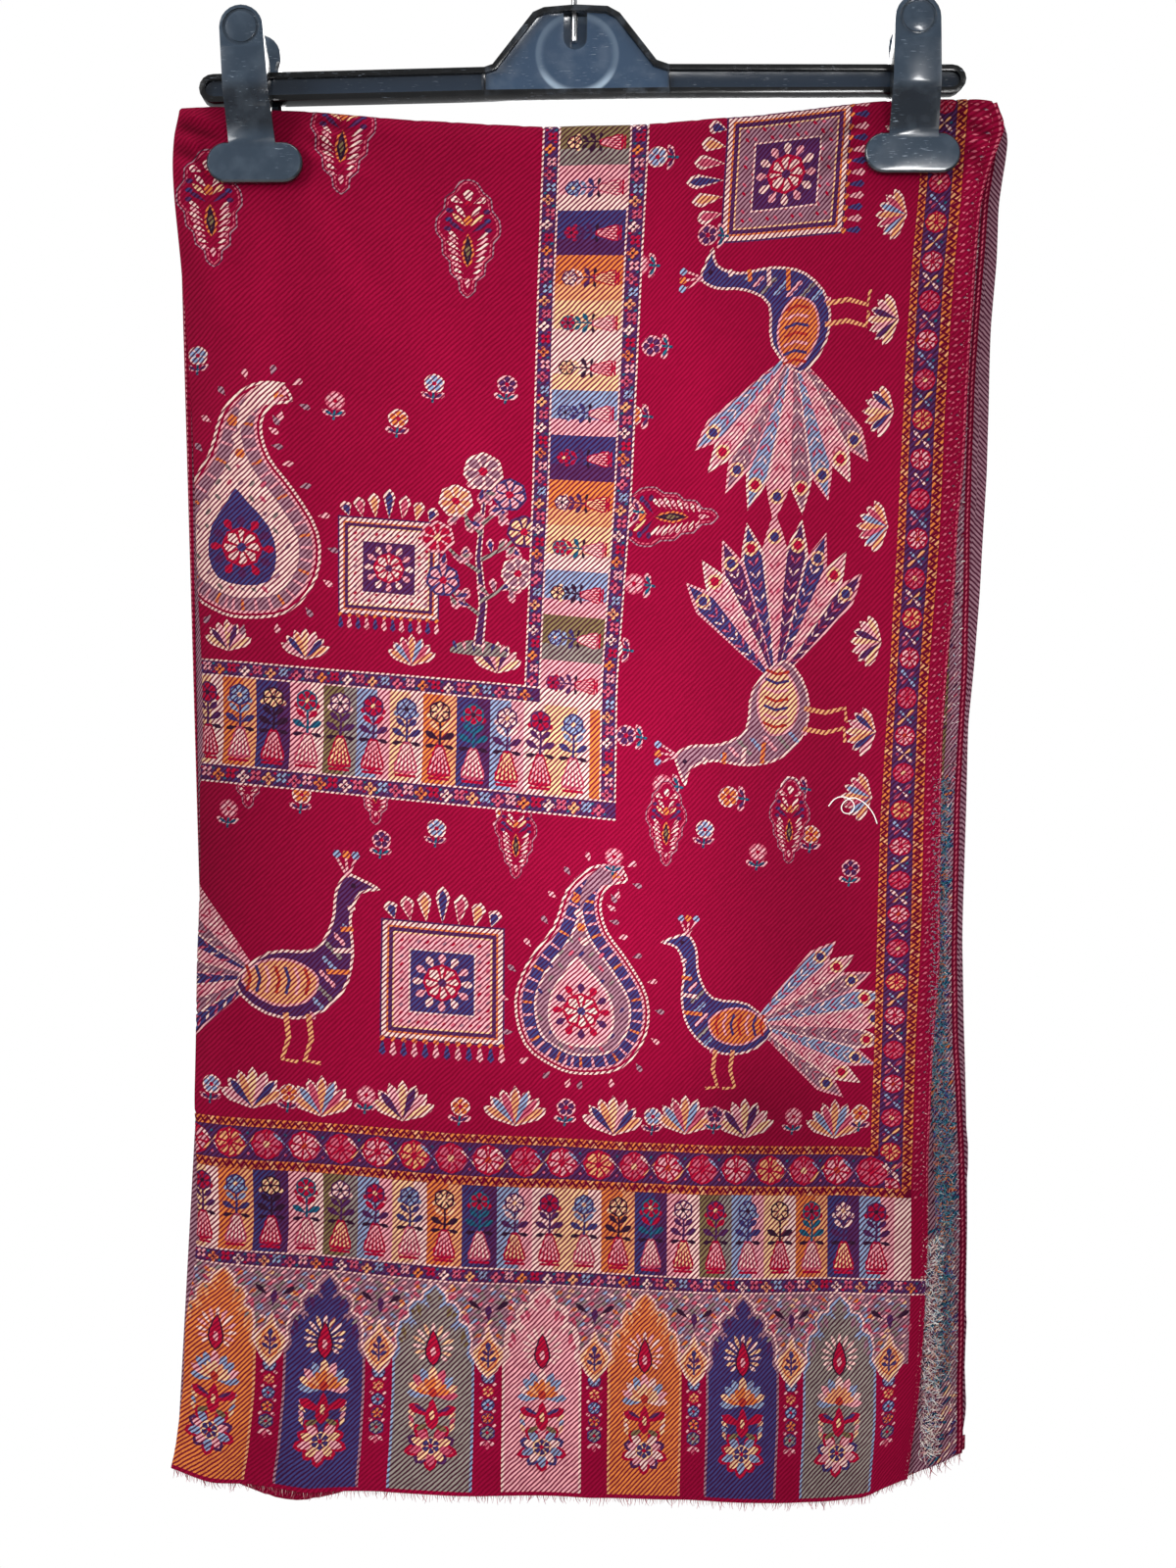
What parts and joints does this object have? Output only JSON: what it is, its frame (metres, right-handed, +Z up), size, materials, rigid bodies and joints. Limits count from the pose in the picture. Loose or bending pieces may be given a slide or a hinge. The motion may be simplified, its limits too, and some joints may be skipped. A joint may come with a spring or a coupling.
{
  "type": "folded kani shawl on a two-clip hanger",
  "caption": "Jacquard kani shawl folded lengthwise and in three, hung by its top fold from the jaws of a moulded clip hanger with a wire hook.",
  "frame": {"origin": "the point inside the top of the hook where a rail bears", "axes": "+Z up, +X to the right as seen from the front, the front faces -Y"},
  "size_m": [0.4017, 0.035, 0.7815],
  "materials": {
    "shawl_face": "twill wool with figured floats",
    "shawl_reverse": "wrong side of the figured cloth",
    "shawl_inner": "twill wool",
    "shawl_back": "twill wool with figured floats",
    "shawl_fringe": "cut warp ends",
    "hanger_plastic": "glossy moulded",
    "clip_plastic": "satin moulded",
    "hook_steel": "plated wire",
    "spring_steel": "spring wire"
  },
  "bodies": {
    "root": {"front_panel": "shawl_face", "under_panel": "shawl_reverse", "inner_layers": "shawl_inner", "back_panel": "shawl_back", "hem_fringe": "shawl_fringe", "hanger_bar": "hanger_plastic", "hook": "hook_steel", "clip_left_front": "clip_plastic", "clip_left_rear": "clip_plastic", "clip_left_spring": "spring_steel", "clip_right_front": "clip_plastic", "clip_right_rear": "clip_plastic", "clip_right_spring": "spring_steel"}
  },
  "joints": []
}
